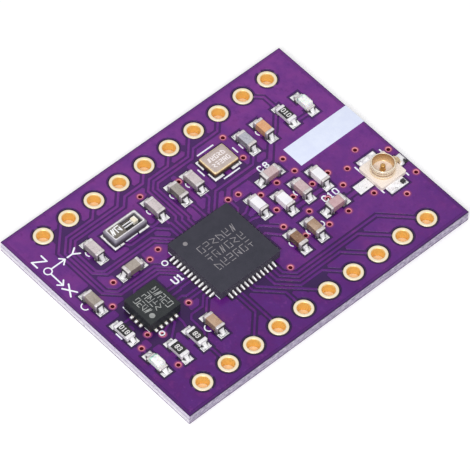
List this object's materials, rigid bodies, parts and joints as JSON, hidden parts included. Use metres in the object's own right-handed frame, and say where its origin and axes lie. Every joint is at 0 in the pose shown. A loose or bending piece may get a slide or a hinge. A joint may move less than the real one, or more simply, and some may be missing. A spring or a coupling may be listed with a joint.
{
  "type": "accelerometer module",
  "caption": "Wireless motion-sensing circuit board with a radio chip, an accelerometer, a coax antenna socket and rows of plated header holes.",
  "frame": {"origin": "middle of the board's underside", "axes": "+X across the two header rows, +Y along them towards the antenna socket, +Z out of the component side"},
  "size_m": [0.021, 0.0284, 0.0022],
  "materials": {
    "laminate": "glass-fibre epoxy",
    "copper": "etched foil",
    "solder_mask": "purple film",
    "gold": "gold plate",
    "via_gold": "gold plate under tinted film",
    "ink": "white ink",
    "chip_plastic": "moulded epoxy",
    "sensor_plastic": "moulded epoxy, speckled",
    "tin": "tin plate",
    "solder": "reflowed solder",
    "watch_ceramic": "satin",
    "watch_frame": "sealing frame",
    "watch_glass": "clear window",
    "quartz": "etched quartz with electrodes",
    "crystal_ceramic": "dark brown",
    "crystal_seal": "gold braze",
    "crystal_lid": "brushed lid",
    "socket_plastic": "cream",
    "socket_gold": "gold plate",
    "capacitor_grey": "satin",
    "capacitor_blue": "satin",
    "capacitor_orange": "satin",
    "capacitor_tan": "satin",
    "capacitor_beige": "satin",
    "capacitor_pink": "satin",
    "capacitor_brown": "satin",
    "inductor_white": "satin",
    "alumina": "satin",
    "glaze": "black glaze",
    "led_substrate": "white laminate",
    "led_lens": "clear resin"
  },
  "bodies": {
    "root": {"board_laminate": "laminate", "copper_top": "copper", "copper_bottom": "copper", "solder_mask_top": "solder_mask", "solder_mask_bottom": "solder_mask", "header_pads": "gold", "via_barrels": "via_gold", "silkscreen_top": "ink", "soc_body": "chip_plastic", "soc_leads": "tin", "soc_thermal_pad": "tin", "lead_solder": "solder", "accelerometer_body": "sensor_plastic", "accelerometer_lands": "gold", "land_solder": "solder", "watch_crystal_case": "watch_ceramic", "watch_crystal_frame": "watch_frame", "watch_crystal_glass": "watch_glass", "watch_crystal_fork": "quartz", "main_crystal_base": "crystal_ceramic", "main_crystal_seal": "crystal_seal", "main_crystal_lid": "crystal_lid", "part_solder": "solder", "antenna_base": "socket_plastic", "antenna_ring": "socket_gold", "antenna_pin": "socket_gold", "capacitor_1": "capacitor_blue", "capacitor_2": "capacitor_orange", "capacitor_3": "capacitor_grey", "capacitor_4": "capacitor_grey", "capacitor_5": "capacitor_grey", "capacitor_6": "capacitor_grey", "capacitor_7": "capacitor_beige", "capacitor_8": "capacitor_beige", "capacitor_9": "capacitor_tan", "capacitor_10": "capacitor_pink", "capacitor_11": "capacitor_pink", "capacitor_12": "capacitor_pink", "capacitor_13": "capacitor_brown", "capacitor_14": "capacitor_brown", "capacitor_ends": "tin", "inductor_1": "inductor_white", "inductor_2": "inductor_white", "inductor_3": "inductor_white", "inductor_ends": "tin", "resistor_1": "alumina", "resistor_2": "alumina", "resistor_3": "alumina", "resistor_4": "alumina", "resistor_glaze": "glaze", "resistor_ends": "tin", "led_substrates": "led_substrate", "led_lens_1": "led_lens", "led_lens_2": "led_lens", "led_ends": "tin", "chip_solder": "solder"}
  },
  "joints": []
}
